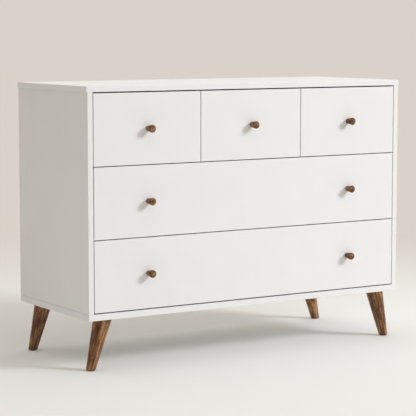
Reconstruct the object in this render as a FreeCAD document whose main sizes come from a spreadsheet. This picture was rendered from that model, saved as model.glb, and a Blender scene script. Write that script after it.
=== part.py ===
import FreeCAD, Part
import os
import re
import Sketcher

# Low, wide chest of drawers: three small drawers over two wide ones, in a white lacquered case
# on four splayed, turned walnut legs.
#
# Part frame, in millimetres: +Z up, the fronts face -Y, +X to the right of someone facing them.
# The origin is on the floor, at the middle of the footprint, knobs included.

SIZES = {
    # case
    "carcass_width": 1200,
    "carcass_depth": 476,
    "side_thickness": 18,
    "top_thickness": 18,
    "top_overhang": 3,
    "bottom_thickness": 20,
    "divider_thickness": 15,
    "shelf_thickness": 15,
    "rail_clearance": 4,
    "back_thickness": 4,
    "rebate_width": 8,
    "edge_ease": 1,
    # shadow groove along the foot of each side panel's outer face
    "seam_height": 1.5,
    "seam_depth": 2,
    # screws that hold the sides on the bottom panel
    "screw_length": 50,
    "screw_radius": 2.5,
    "screw_head_radius": 5,
    "screw_head_height": 3.5,
    "screw_end_inset": 60,
    # legs and what fixes them
    "leg_height": 161,
    "leg_top_radius": 29,
    "leg_foot_radius": 14.5,
    "leg_splay": 15,
    "leg_inset_side": 66.5,
    "leg_inset_front": 36.5,
    "bolt_radius": 4,
    "bolt_reach": 40,
    "insert_radius": 5,
    "insert_length": 11,
    "insert_flange_radius": 11,
    "insert_flange_height": 1.5,
    "dowel_radius": 4,
    "dowel_reach": 12,
    "dowel_spacing": 15,
    "glide_radius": 12,
    "glide_height": 3,
    "glide_rounding": 0.8,
    "hole_clearance": 0.05,
    # drawer fronts
    "front_thickness": 18,
    "front_height": 224,
    "front_gap": 3,
    "top_gap": 4,
    "bottom_gap": 4,
    # drawer boxes
    "box_board": 12,
    "box_rise": 20,
    "box_top_gap": 28,
    "box_rear_gap": 34,
    "box_rounding": 2,
    "base_board": 4,
    "base_rise": 10,
    "groove_depth": 5,
    # knobs
    "knob_length": 30,
    "knob_foot_radius": 8.25,
    "knob_head_radius": 12.5,
    "knob_dome": 1.5,
    "knob_rounding": 2.5,
    "knob_screw_radius": 2,
    "knob_bore_depth": 18,
    # ball runners
    "runner_width": 12.7,
    "runner_height": 35,
    "runner_wall": 1.2,
    "runner_side_gap": 1.5,
    "runner_lip": 2.2,
    "runner_rear": 20,
    "runner_overlap": 100,
    "runner_rise": 70,
    "ball_radius": 2,
    "ball_gap": 0.3,
    "balls_per_row": 6,
    "ball_end_inset": 10,
    "cage_sheet": 0.6,
    "cage_gap": 0.6,
    "cage_end_gap": 10,
    "cage_window_gap": 0.1,
}

LAYOUT = {
    # planes of the case
    "front_plane": "(knob_length - carcass_depth) / 2",
    "back_plane": "front_plane + carcass_depth",
    "inner_back": "back_plane - back_thickness",
    "rail_front": "front_plane + front_thickness + rail_clearance",
    "rail_depth": "inner_back - rail_front",
    "half_width": "carcass_width / 2",
    "inner_half": "half_width - side_thickness",
    "floor_top": "leg_height + bottom_thickness",
    "fronts_base": "floor_top + bottom_gap",
    "row_pitch": "front_height + front_gap",
    "top_underside": "fronts_base + 3 * front_height + 2 * front_gap + top_gap",
    "side_height": "top_underside - floor_top",
    "shelf_base": "fronts_base + 2 * row_pitch - (front_gap + shelf_thickness) / 2",
    "shelf_top": "shelf_base + shelf_thickness",
    # drawers
    "small_front_width": "(2 * inner_half - 4 * front_gap) / 3",
    "wide_front_width": "2 * (inner_half - front_gap)",
    "column_pitch": "small_front_width + front_gap",
    "divider_inner": "(column_pitch - divider_thickness) / 2",
    "divider_outer": "divider_inner + divider_thickness",
    "box_front": "front_plane + front_thickness",
    "box_height": "front_height - box_rise - box_top_gap",
    "box_length": "carcass_depth - front_thickness - back_thickness - box_rear_gap",
    # legs
    "leg_slant": "leg_height / cos(leg_splay)",
    "leg_taper": "(leg_top_radius - leg_foot_radius) / leg_slant",
    "foot_inset_side": "leg_inset_side - (leg_height - glide_height) * tan(leg_splay)",
    # runners
    "runner_half": "runner_height / 2",
    "runner_length": "box_length - runner_rear",
    "runner_travel": "runner_length - runner_overlap",
    "ball_height": "runner_half - runner_wall - ball_gap - ball_radius",
    "inner_runner_half": "ball_height - ball_gap - ball_radius",
    "channel_reach": "runner_width - runner_side_gap",
    "cage_inner": "runner_wall + cage_gap + cage_sheet",
    "cage_reach": "channel_reach - runner_wall - cage_gap",
    "ball_offset": "(cage_inner + cage_reach) / 2",
    "cage_length": "runner_length - runner_travel / 2 - cage_end_gap",
}

# drawer name: row from the floor up, left and right face of its bay, left edge and width of its
# front, and the places of its knobs across the case
DRAWERS = {
    "top_left": (2, "-inner_half", "-divider_outer", "-inner_half + front_gap",
                 "small_front_width", {"top_left_knob": "-column_pitch"}),
    "top_centre": (2, "-divider_inner", "divider_inner", "-small_front_width / 2",
                   "small_front_width", {"top_centre_knob": "0"}),
    "top_right": (2, "divider_outer", "inner_half", "inner_half - front_gap - small_front_width",
                  "small_front_width", {"top_right_knob": "column_pitch"}),
    "middle": (1, "-inner_half", "inner_half", "-inner_half + front_gap", "wide_front_width",
               {"middle_left_knob": "-column_pitch", "middle_right_knob": "column_pitch"}),
    "bottom": (0, "-inner_half", "inner_half", "-inner_half + front_gap", "wide_front_width",
               {"bottom_left_knob": "-column_pitch", "bottom_right_knob": "column_pitch"}),
}

LEG_CORNERS = {
    "front_left_leg": (-1, -1),
    "front_right_leg": (1, -1),
    "back_left_leg": (-1, 1),
    "back_right_leg": (1, 1),
}

TINY = 1e-6

doc = FreeCAD.newDocument("chest_of_drawers")
sheet_of = {}
nodes = []


def fill_sheet(title, entries):
    """Writes one sheet: a name, a value and the value's alias in each row."""
    sheet = doc.addObject("Spreadsheet::Sheet", title)
    for row, (alias, content) in enumerate(entries.items(), start=1):
        sheet_of[alias] = title
        sheet.set(f"A{row}", alias)
        sheet.set(f"B{row}", content if isinstance(content, str) else str(content))
        sheet.setAlias(f"B{row}", alias)
    return sheet


def formula(text):
    """Puts the sheet's name in front of every size that an expression names."""
    return re.sub(r"[a-z_]+", lambda word: named(word[0]), text)


def named(word):
    return f"{sheet_of[word]}.{word}" if word in sheet_of else word


sizes = fill_sheet("Sizes", SIZES)
sheet_of.update({alias: "Layout" for alias in LAYOUT})
layout = fill_sheet("Layout", {alias: "=" + formula(text) for alias, text in LAYOUT.items()})
doc.recompute()


def value(text):
    return float(sizes.evalExpression(formula(text)))


def bind(target, path, text):
    target.setExpression(path, formula(text))


def place(target, x, y, z):
    for axis, text in (("x", x), ("y", y), ("z", z)):
        bind(target, f"Placement.Base.{axis}", text)


def add_node(target, label):
    """Names a finished sub-part and keeps it for the export."""
    target.Label = label
    nodes.append(target)
    return target


# ---- sketches -----------------------------------------------------------------------------

def new_sketch(body, plane, offset="0"):
    """A sketch on one of the body's own origin planes, moved along that plane's normal."""
    sketch = body.newObject("Sketcher::SketchObject", "Sketch")
    support = next(item for item in body.Origin.OriginFeatures if item.Role == plane)
    sketch.AttachmentSupport = [(support, "")]
    sketch.MapMode = "FlatFace"
    bind(sketch, "AttachmentOffset.Base.z", offset)
    return sketch


def pin_point(sketch, geometry, vertex, x, y):
    """Holds one point at a place that follows the sheets."""
    for kind, text, axis in (("DistanceX", x, -2), ("DistanceY", y, -1)):
        if text == "0":
            sketch.addConstraint(Sketcher.Constraint("PointOnObject", geometry, vertex, axis))
            continue
        index = sketch.addConstraint(
            Sketcher.Constraint(kind, -1, 1, geometry, vertex, value(text)))
        name = f"{kind}_{geometry}_{vertex}"
        sketch.renameConstraint(index, name)
        bind(sketch, f"Constraints.{name}", text)


def add_outline(sketch, corners):
    """A closed polygon through corners that follow the sheets."""
    points = [FreeCAD.Vector(value(x), value(y), 0) for x, y in corners]
    first = sketch.GeometryCount
    count = len(corners)
    for index, point in enumerate(points):
        sketch.addGeometry(Part.LineSegment(point, points[(index + 1) % count]))
    for index, (x, y) in enumerate(corners):
        line = first + index
        following = first + (index + 1) % count
        sketch.addConstraint(Sketcher.Constraint("Coincident", line, 2, following, 1))
        pin_point(sketch, line, 1, x, y)


def add_rectangle(sketch, left, low, right, high):
    add_outline(sketch, [(left, low), (right, low), (right, high), (left, high)])


def add_circle(sketch, x, y, radius):
    centre = FreeCAD.Vector(value(x), value(y), 0)
    up = FreeCAD.Vector(0, 0, 1)
    circle = sketch.addGeometry(Part.Circle(centre, up, value(radius)))
    pin_point(sketch, circle, 3, x, y)
    index = sketch.addConstraint(Sketcher.Constraint("Radius", circle, value(radius)))
    sketch.renameConstraint(index, f"Radius_{circle}")
    bind(sketch, f"Constraints.Radius_{circle}", radius)


# ---- features -----------------------------------------------------------------------------

def pad(body, sketch, length, reverse=False):
    feature = body.newObject("PartDesign::Pad", "Pad")
    feature.Profile = sketch
    feature.Reversed = reverse
    bind(feature, "Length", length)
    return feature


def revolve(body, sketch):
    """Turns the profile once round the sketch's upright axis."""
    feature = body.newObject("PartDesign::Revolution", "Revolution")
    feature.Profile = sketch
    feature.ReferenceAxis = (sketch, ["V_Axis"])
    feature.Angle = 360
    return feature


def pocket(body, sketch, depth=None, reverse=False):
    """Cuts the sketch out, through everything where no depth is given."""
    doc.recompute()
    before = body.Shape.Volume
    feature = body.newObject("PartDesign::Pocket", "Pocket")
    feature.Profile = sketch
    feature.Reversed = reverse
    if depth is None:
        feature.Type = "ThroughAll"
    else:
        bind(feature, "Length", depth)
    doc.recompute()
    if body.Shape.Volume > before - TINY:
        raise RuntimeError(f"{body.Label}: a pocket cut nothing")
    return feature


def round_edges(body, radius, wanted):
    """Fillets the edges whose every point passes the test, in the body's own axes."""
    doc.recompute()
    base = body.Tip
    picked = []
    for number, edge in enumerate(base.Shape.Edges, start=1):
        if wanted(edge.BoundBox):
            picked.append(f"Edge{number}")
    feature = body.newObject("PartDesign::Fillet", "Fillet")
    feature.Base = (base, picked)
    bind(feature, "Radius", radius)
    return feature


def lies_at(low, high, plane):
    """True where an edge's whole extent along one axis is at one plane."""
    return abs(low - plane) < TINY and abs(high - plane) < TINY


# ---- boards -------------------------------------------------------------------------------
# Every board's own origin is its lowest corner: left, front and bottom.

def flat_board(name, width, depth, thickness):
    body = doc.addObject("PartDesign::Body", name)
    sketch = new_sketch(body, "XY_Plane")
    add_rectangle(sketch, "0", "0", width, depth)
    pad(body, sketch, thickness)
    return body


def upright_board(name, thickness, depth, height):
    """A board whose faces look left and right."""
    body = doc.addObject("PartDesign::Body", name)
    sketch = new_sketch(body, "YZ_Plane")
    add_rectangle(sketch, "0", "0", depth, height)
    pad(body, sketch, thickness)
    return body


def facing_board(name, width, thickness, height):
    """A board whose faces look forwards and backwards."""
    body = doc.addObject("PartDesign::Body", name)
    sketch = new_sketch(body, "XZ_Plane")
    add_rectangle(sketch, "0", "0", width, height)
    pad(body, sketch, thickness, reverse=True)
    return body


def leg_points():
    """The middle of each leg's top, measured from the bottom panel's corner."""
    for x in ("leg_inset_side", "carcass_width - leg_inset_side"):
        for y in ("leg_inset_front", "carcass_depth - leg_inset_front"):
            yield x, y


def screw_points():
    """The screws under both side panels, measured from the bottom panel's corner."""
    for x in ("side_thickness / 2", "carcass_width - side_thickness / 2"):
        for y in ("screw_end_inset", "carcass_depth / 2", "carcass_depth - screw_end_inset"):
            yield x, y


def make_top_panel():
    width = "carcass_width + 2 * top_overhang"
    board = flat_board("TopPanel", width, "carcass_depth", "top_thickness")
    round_edges(board, "edge_ease", lambda box: True)
    recess = new_sketch(board, "XY_Plane")
    inset = "top_overhang + side_thickness - rebate_width"
    add_rectangle(recess, inset, "carcass_depth - back_thickness", f"{width} - ({inset})",
                  "carcass_depth")
    pocket(board, recess, "rebate_width", reverse=True)
    place(board, "-half_width - top_overhang", "front_plane", "top_underside")
    return add_node(board, "top_panel")


def make_bottom_panel():
    board = flat_board("BottomPanel", "carcass_width", "carcass_depth", "bottom_thickness")
    round_edges(board, "edge_ease", lambda box: True)
    recess = new_sketch(board, "XY_Plane", "bottom_thickness")
    inset = "side_thickness - rebate_width"
    add_rectangle(recess, inset, "carcass_depth - back_thickness",
                  f"carcass_width - ({inset})", "carcass_depth")
    pocket(board, recess, "rebate_width")
    bolt_holes = new_sketch(board, "XY_Plane")
    dowel_holes = new_sketch(board, "XY_Plane")
    for x, y in leg_points():
        inboard = "dowel_spacing" if x == "leg_inset_side" else "-dowel_spacing"
        add_circle(bolt_holes, x, y, "insert_radius + hole_clearance")
        add_circle(dowel_holes, f"{x} + {inboard}", y, "dowel_radius + hole_clearance")
    pocket(board, bolt_holes, reverse=True)
    pocket(board, dowel_holes, "dowel_reach", reverse=True)
    shank_holes = new_sketch(board, "XY_Plane")
    head_holes = new_sketch(board, "XY_Plane")
    for x, y in screw_points():
        add_circle(shank_holes, x, y, "screw_radius + hole_clearance")
        add_circle(head_holes, x, y, "screw_head_radius + hole_clearance")
    pocket(board, shank_holes, reverse=True)
    pocket(board, head_holes, "screw_head_height", reverse=True)
    place(board, "-half_width", "front_plane", "leg_height")
    return add_node(board, "bottom_panel")


def make_side_panel(label, is_left):
    """Side panel: eased front edges, a seam groove, a rebate for the back and screw holes."""
    board = upright_board("SidePanel", "side_thickness", "carcass_depth", "side_height")
    round_edges(board, "edge_ease",
                lambda box: lies_at(box.YMin, box.YMax, 0) and box.ZLength > TINY)
    seam = new_sketch(board, "XY_Plane")
    outer = "0" if is_left else "side_thickness - seam_depth"
    groove_end = "seam_depth" if is_left else "side_thickness"
    add_rectangle(seam, outer, "0", groove_end, "carcass_depth")
    pocket(board, seam, "seam_height", reverse=True)
    rebate = new_sketch(board, "XY_Plane")
    near = "side_thickness - rebate_width" if is_left else "0"
    far = "side_thickness" if is_left else "rebate_width"
    add_rectangle(rebate, near, "carcass_depth - back_thickness", far, "carcass_depth")
    pocket(board, rebate, reverse=True)
    holes = new_sketch(board, "XY_Plane")
    for x, y in screw_points():
        if x == "side_thickness / 2":
            add_circle(holes, x, y, "screw_radius + hole_clearance")
    pocket(board, holes, "screw_length - bottom_thickness", reverse=True)
    place(board, "-half_width" if is_left else "inner_half", "front_plane", "floor_top")
    return add_node(board, label)


def make_back_panel():
    """Hardboard sheet let into the rebates all round."""
    half = "(inner_half + rebate_width)"
    board = facing_board("BackPanel", f"2 * {half}", "back_thickness",
                         "side_height + 2 * rebate_width")
    place(board, f"-{half}", "inner_back", "floor_top - rebate_width")
    return add_node(board, "back_panel")


def make_shelf():
    """Board between the top row and the two wide drawers."""
    board = flat_board("Shelf", "2 * inner_half", "rail_depth", "shelf_thickness")
    round_edges(board, "edge_ease",
                lambda box: lies_at(box.YMin, box.YMax, 0) and box.XLength > TINY)
    place(board, "-inner_half", "rail_front", "shelf_base")
    return add_node(board, "shelf")


def make_divider(label, left):
    board = upright_board("Divider", "divider_thickness", "rail_depth",
                          "top_underside - shelf_top")
    round_edges(board, "edge_ease",
                lambda box: lies_at(box.YMin, box.YMax, 0) and box.ZLength > TINY)
    place(board, left, "rail_front", "shelf_top")
    return add_node(board, label)


# ---- groups of like pieces ----------------------------------------------------------------

def copy_of(master, x, y, z, axis=None, angle=0):
    """One more of the master, at a place of its own."""
    link = doc.addObject("App::Link", f"{master.Name}_copy")
    link.LinkedObject = master
    if axis:
        link.Placement = FreeCAD.Placement(FreeCAD.Vector(), FreeCAD.Rotation(axis, angle))
    place(link, x, y, z)
    return link


def group(label, pieces):
    compound = doc.addObject("Part::Compound", "Group")
    compound.Links = pieces
    return add_node(compound, label)


def make_case_screws():
    """Six screws up through the bottom panel into the ends of the side panels."""
    screw = doc.addObject("PartDesign::Body", "CaseScrew")
    profile = new_sketch(screw, "XZ_Plane")
    add_outline(profile, [("0", "0"), ("screw_head_radius", "0"),
                          ("screw_head_radius", "screw_head_height"),
                          ("screw_radius", "screw_head_height"),
                          ("screw_radius", "screw_length - screw_radius"),
                          ("0", "screw_length")])
    revolve(screw, profile)
    group("case_screws", [copy_of(screw, f"{x} - half_width", f"{y} + front_plane", "leg_height")
                          for x, y in screw_points()])


# ---- legs ---------------------------------------------------------------------------------

def make_leg(label, side, end):
    """Turned, tapered leg, cut level at both ends, with bores for its bolt and its dowel.

    Its own origin is the middle of its top, and it leans out towards -X.
    """
    leg = doc.addObject("PartDesign::Body", "Leg")
    profile = new_sketch(leg, "XZ_Plane")
    profile.AttachmentOffset = FreeCAD.Placement(
        FreeCAD.Vector(), FreeCAD.Rotation(FreeCAD.Vector(0, 0, 1), -1))
    bind(profile, "AttachmentOffset.Rotation.Angle", "-leg_splay")
    spare = "leg_top_radius"
    add_outline(profile, [("0", f"-leg_slant - {spare}"),
                          (f"leg_foot_radius - leg_taper * {spare}", f"-leg_slant - {spare}"),
                          (f"leg_top_radius + leg_taper * {spare}", spare),
                          ("0", spare)])
    revolve(leg, profile)
    reach = "(2 * leg_top_radius)"
    above = new_sketch(leg, "XY_Plane")
    add_rectangle(above, f"-{reach}", f"-{reach}", reach, reach)
    pocket(leg, above, reverse=True)
    below = new_sketch(leg, "XY_Plane", "glide_height - leg_height")
    add_rectangle(below, f"-{reach} - leg_height", f"-{reach}", reach, reach)
    pocket(leg, below)
    bolt_bore = new_sketch(leg, "XY_Plane")
    add_circle(bolt_bore, "0", "0", "bolt_radius + hole_clearance")
    pocket(leg, bolt_bore, "bolt_reach")
    dowel_bore = new_sketch(leg, "XY_Plane")
    add_circle(dowel_bore, "dowel_spacing", "0", "dowel_radius + hole_clearance")
    pocket(leg, dowel_bore, "dowel_reach")
    if side > 0:
        leg.Placement = FreeCAD.Placement(
            FreeCAD.Vector(), FreeCAD.Rotation(FreeCAD.Vector(0, 0, 1), 180))
    place(leg, leg_x(side, "leg_inset_side"), leg_y(end), "leg_height")
    return add_node(leg, label)


def leg_x(side, inset):
    return f"half_width - ({inset})" if side > 0 else f"{inset} - half_width"


def leg_y(end):
    return "back_plane - leg_inset_front" if end > 0 else "front_plane + leg_inset_front"


def make_leg_bolts():
    """Threaded rods, half in the leg and half in the panel's insert."""
    bolt = doc.addObject("Part::Cylinder", "LegBolt")
    bind(bolt, "Radius", "bolt_radius")
    bind(bolt, "Height", "bolt_reach + bottom_thickness")
    group("leg_bolts", [copy_of(bolt, leg_x(side, "leg_inset_side"), leg_y(end),
                                "leg_height - bolt_reach")
                        for side, end in LEG_CORNERS.values()])


def make_leg_inserts():
    """Flanged threaded inserts, dropped into the bottom panel from above."""
    insert = doc.addObject("PartDesign::Body", "LegInsert")
    profile = new_sketch(insert, "XZ_Plane")
    bore = "bolt_radius + hole_clearance"
    add_outline(profile, [(bore, "-insert_length"), ("insert_radius", "-insert_length"),
                          ("insert_radius", "0"), ("insert_flange_radius", "0"),
                          ("insert_flange_radius", "insert_flange_height"),
                          (bore, "insert_flange_height")])
    revolve(insert, profile)
    group("leg_inserts", [copy_of(insert, leg_x(side, "leg_inset_side"), leg_y(end), "floor_top")
                          for side, end in LEG_CORNERS.values()])


def make_leg_dowels():
    """Beech dowels beside the bolts, which stop the legs turning."""
    dowel = doc.addObject("Part::Cylinder", "LegDowel")
    bind(dowel, "Radius", "dowel_radius")
    bind(dowel, "Height", "2 * dowel_reach")
    group("leg_dowels", [copy_of(dowel, leg_x(side, "leg_inset_side + dowel_spacing"),
                                 leg_y(end), "leg_height - dowel_reach")
                         for side, end in LEG_CORNERS.values()])


def make_leg_glides():
    """Round pads under the legs, with a softened lower edge."""
    glide = doc.addObject("PartDesign::Body", "LegGlide")
    disc = new_sketch(glide, "XY_Plane")
    add_circle(disc, "0", "0", "glide_radius")
    pad(glide, disc, "glide_height")
    round_edges(glide, "glide_rounding", lambda box: lies_at(box.ZMin, box.ZMax, 0))
    group("leg_glides", [copy_of(glide, leg_x(side, "foot_inset_side"), leg_y(end), "0")
                         for side, end in LEG_CORNERS.values()])


# ---- drawers ------------------------------------------------------------------------------

def make_drawer_front(drawer, base, front_left, front_width, box_left, box_width, knobs):
    """Slab front: eased face, a groove for the drawer's bottom and a hole behind each knob."""
    board = facing_board("Front", front_width, "front_thickness", "front_height")
    round_edges(board, "edge_ease", lambda box: lies_at(box.YMin, box.YMax, 0))
    groove = new_sketch(board, "XZ_Plane", "-front_thickness")
    start = f"{box_left} - ({front_left}) + box_board - groove_depth"
    add_rectangle(groove, start, "box_rise + base_rise",
                  f"{start} + {box_width} - 2 * (box_board - groove_depth)",
                  "box_rise + base_rise + base_board")
    pocket(board, groove, "groove_depth", reverse=True)
    holes = new_sketch(board, "XZ_Plane")
    for knob_x in knobs.values():
        add_circle(holes, f"{knob_x} - ({front_left})", "front_height / 2",
                   "knob_screw_radius + hole_clearance")
    pocket(board, holes)
    place(board, front_left, "front_plane", base)
    add_node(board, f"{drawer}_drawer_front")


def make_drawer_side(label, is_left, x, base):
    """Box side with rounded upper edges and a groove for the bottom."""
    board = upright_board("BoxSide", "box_board", "box_length", "box_height")
    top = value("box_height")
    round_edges(board, "box_rounding",
                lambda box: lies_at(box.ZMin, box.ZMax, top) and box.YLength > TINY)
    groove = new_sketch(board, "XZ_Plane")
    near = "box_board - groove_depth" if is_left else "0"
    far = "box_board" if is_left else "groove_depth"
    add_rectangle(groove, near, "base_rise", far, "base_rise + base_board")
    pocket(board, groove)
    place(board, x, "box_front", f"{base} + box_rise")
    add_node(board, label)


def make_drawer_back(drawer, box_left, box_width, base):
    """Box back, between the sides, standing on the bottom."""
    board = facing_board("BoxBack", f"{box_width} - 2 * box_board", "box_board",
                         "box_height - base_rise - base_board")
    place(board, f"{box_left} + box_board", "box_front + box_length - box_board",
          f"{base} + box_rise + base_rise + base_board")
    add_node(board, f"{drawer}_drawer_back")


def make_drawer_bottom(drawer, box_left, box_width, base):
    """Thin sheet in the grooves of the sides and the front, running out under the back."""
    board = flat_board("BoxBottom", f"{box_width} - 2 * (box_board - groove_depth)",
                       "box_length + groove_depth", "base_board")
    place(board, f"{box_left} + box_board - groove_depth", "box_front - groove_depth",
          f"{base} + box_rise + base_rise")
    add_node(board, f"{drawer}_drawer_bottom")


def make_knob(label, x, base):
    """Turned knob that widens from its foot to a rounded, slightly domed head."""
    knob = doc.addObject("PartDesign::Body", "Knob")
    profile = new_sketch(knob, "XZ_Plane")
    foot = value("knob_foot_radius")
    head = value("knob_head_radius")
    length = value("knob_length")
    rim_height = value("knob_length - knob_dome")
    dome_radius = value("(knob_head_radius^2 + knob_dome^2) / (2 * knob_dome)")
    centre = FreeCAD.Vector(0, length - dome_radius, 0)
    rim = FreeCAD.Vector(head, rim_height, 0)
    crown = FreeCAD.Vector(0, length, 0)
    dome = Part.Circle(centre, FreeCAD.Vector(0, 0, 1), dome_radius)
    profile.addGeometry(Part.LineSegment(FreeCAD.Vector(), FreeCAD.Vector(foot, 0, 0)))
    profile.addGeometry(Part.LineSegment(FreeCAD.Vector(foot, 0, 0), rim))
    profile.addGeometry(Part.ArcOfCircle(dome, dome.parameter(rim), dome.parameter(crown)))
    profile.addGeometry(Part.LineSegment(crown, FreeCAD.Vector()))
    for line, following in ((0, 1), (1, 2), (2, 3), (3, 0)):
        profile.addConstraint(Sketcher.Constraint("Coincident", line, 2, following, 1))
    profile.addConstraint(Sketcher.Constraint("PointOnObject", 2, 3, -2))
    pin_point(profile, 0, 1, "0", "0")
    pin_point(profile, 1, 1, "knob_foot_radius", "0")
    pin_point(profile, 2, 1, "knob_head_radius", "knob_length - knob_dome")
    pin_point(profile, 3, 1, "0", "knob_length")
    revolve(knob, profile)
    round_edges(knob, "knob_rounding", lambda box: lies_at(box.ZMin, box.ZMax, rim_height))
    bore = new_sketch(knob, "XY_Plane")
    add_circle(bore, "0", "0", "knob_screw_radius")
    pocket(knob, bore, "knob_bore_depth", reverse=True)
    knob.Placement = FreeCAD.Placement(
        FreeCAD.Vector(), FreeCAD.Rotation(FreeCAD.Vector(1, 0, 0), 90))
    place(knob, x, "front_plane", f"{base} + front_height / 2")
    add_node(knob, label)


def make_drawer(drawer, row, bay_left, bay_right, front_left, front_width, knobs):
    base = f"fronts_base + {row} * row_pitch"
    box_left = f"{bay_left} + runner_width"
    box_width = f"({bay_right} - ({bay_left}) - 2 * runner_width)"
    make_drawer_front(drawer, base, front_left, front_width, box_left, box_width, knobs)
    make_drawer_side(f"{drawer}_drawer_left_side", True, box_left, base)
    make_drawer_side(f"{drawer}_drawer_right_side", False,
                     f"{box_left} + {box_width} - box_board", base)
    make_drawer_back(drawer, box_left, box_width, base)
    make_drawer_bottom(drawer, box_left, box_width, base)
    for label, x in knobs.items():
        make_knob(label, x, base)


# ---- ball runners -------------------------------------------------------------------------
# Each member's own origin is on the case's wall, at mid-height of its front end.

def runner_member(name, corners, length):
    member = doc.addObject("PartDesign::Body", name)
    section = new_sketch(member, "XZ_Plane")
    add_outline(section, corners)
    pad(member, section, length, reverse=True)
    return member


def make_case_member():
    """Channel with turned-in lips, screwed to the case."""
    inside = "runner_half - runner_wall"
    upper = [("channel_reach - runner_wall", inside),
             ("channel_reach - runner_wall", f"{inside} - runner_lip"),
             ("channel_reach", f"{inside} - runner_lip"),
             ("channel_reach", "runner_half"), ("0", "runner_half")]
    lower = [(x, f"-({z})") for x, z in reversed(upper)]
    corners = lower + [("runner_wall", f"-({inside})"), ("runner_wall", inside)] + upper
    return runner_member("CaseMember", corners, "runner_length")


def make_drawer_member():
    """Narrower channel inside it, screwed to the drawer."""
    open_end = "cage_inner + cage_gap"
    web = "runner_width - runner_wall"
    inside = "inner_runner_half - runner_wall"
    corners = [(open_end, "-inner_runner_half"), ("runner_width", "-inner_runner_half"),
               ("runner_width", "inner_runner_half"), (open_end, "inner_runner_half"),
               (open_end, inside), (web, inside), (web, f"-({inside})"),
               (open_end, f"-({inside})")]
    return runner_member("DrawerMember", corners, "runner_length")


def make_ball_cage():
    """Folded strip between the two channels, with its balls in two rows of windows."""
    outer = "cage_inner - cage_sheet"
    high = "ball_height + cage_sheet / 2"
    low = "ball_height - cage_sheet / 2"
    cage = runner_member("Cage", [(outer, f"-({high})"), ("cage_reach", f"-({high})"),
                                  ("cage_reach", f"-({low})"), ("cage_inner", f"-({low})"),
                                  ("cage_inner", low), ("cage_reach", low),
                                  ("cage_reach", high), (outer, high)], "cage_length")
    pitch = "(cage_length - 2 * ball_end_inset) / (balls_per_row - 1)"
    windows = new_sketch(cage, "XY_Plane", high)
    ball_count = int(value("balls_per_row"))
    for number in range(ball_count):
        add_circle(windows, "ball_offset", f"ball_end_inset + {number} * {pitch}",
                   "ball_radius + cage_window_gap")
    pocket(cage, windows)
    ball = doc.addObject("Part::Sphere", "Ball")
    bind(ball, "Radius", "ball_radius")
    balls = [copy_of(ball, "ball_offset", f"ball_end_inset + {number} * {pitch}", height)
             for number in range(ball_count) for height in ("ball_height", "-ball_height")]
    loaded = doc.addObject("Part::Compound", "LoadedCage")
    loaded.Links = [cage] + balls
    return loaded


def runner_pair(master, row, bay_left, bay_right, start):
    """The master on both walls of a bay, turned over on the right one."""
    height = f"fronts_base + {row} * row_pitch + box_rise + runner_rise"
    along = FreeCAD.Vector(0, 1, 0)
    return [copy_of(master, bay_left, start, height),
            copy_of(master, bay_right, start, height, along, 180)]


def make_runners():
    case_member = make_case_member()
    drawer_member = make_drawer_member()
    loaded_cage = make_ball_cage()
    fixed = []
    for drawer, (row, bay_left, bay_right, *_) in DRAWERS.items():
        bay = (row, bay_left, bay_right)
        fixed += runner_pair(case_member, *bay, "rail_front")
        group(f"{drawer}_ball_cages",
              runner_pair(loaded_cage, *bay, "rail_front + runner_travel / 2"))
        group(f"{drawer}_drawer_runners", runner_pair(drawer_member, *bay, "rail_front"))
    group("case_runners", fixed)


# ---- the whole chest ----------------------------------------------------------------------

make_top_panel()
make_bottom_panel()
make_side_panel("left_side_panel", True)
make_side_panel("right_side_panel", False)
make_back_panel()
make_shelf()
make_divider("left_divider", "-divider_outer")
make_divider("right_divider", "divider_inner")
make_case_screws()
for leg_label, (leg_side, leg_end) in LEG_CORNERS.items():
    make_leg(leg_label, leg_side, leg_end)
make_leg_bolts()
make_leg_inserts()
make_leg_dowels()
make_leg_glides()
for drawer_name, drawer_layout in DRAWERS.items():
    make_drawer(drawer_name, *drawer_layout)
make_runners()

doc.recompute()
for item in doc.Objects:
    if "Invalid" in item.State or "Error" in item.State:
        raise RuntimeError(f"{item.Label} failed: {item.State}")
for node in nodes:
    if node.Shape.isNull() or not node.Shape.isValid():
        raise RuntimeError(f"{node.Label} has no valid shape")

os.makedirs("parts", exist_ok=True)
for node in nodes:
    node.Shape.exportStep(f"parts/{node.Label}.step")
print(len(nodes), "nodes,", sum(len(node.Shape.Solids) for node in nodes), "solids")
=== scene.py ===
import math
import bmesh
import bpy
from mathutils import Euler, Matrix, Vector


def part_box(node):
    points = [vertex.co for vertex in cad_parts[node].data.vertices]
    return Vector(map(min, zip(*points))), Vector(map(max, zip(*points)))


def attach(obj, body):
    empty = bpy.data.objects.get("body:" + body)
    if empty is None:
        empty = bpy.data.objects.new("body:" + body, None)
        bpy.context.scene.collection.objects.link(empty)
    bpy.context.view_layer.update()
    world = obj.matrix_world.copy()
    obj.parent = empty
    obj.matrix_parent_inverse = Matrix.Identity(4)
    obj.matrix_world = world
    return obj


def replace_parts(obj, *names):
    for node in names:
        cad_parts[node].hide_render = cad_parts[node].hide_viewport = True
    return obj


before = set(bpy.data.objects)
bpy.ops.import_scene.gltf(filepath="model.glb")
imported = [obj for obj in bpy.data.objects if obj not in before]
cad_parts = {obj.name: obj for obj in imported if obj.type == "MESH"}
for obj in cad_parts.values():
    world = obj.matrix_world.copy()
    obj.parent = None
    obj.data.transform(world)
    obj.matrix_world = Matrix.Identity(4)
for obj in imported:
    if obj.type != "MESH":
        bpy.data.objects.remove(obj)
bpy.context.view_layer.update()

# ---- case panels ----------------------------------------------------------------------------
# The case is a box of 18 mm medium-density fibreboard, sprayed with satin white lacquer after
# its edges were eased. Top, sides and bottom are butted, and the shelf and dividers stand
# inside it, a little behind the drawer fronts.

MM = 0.001


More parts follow.
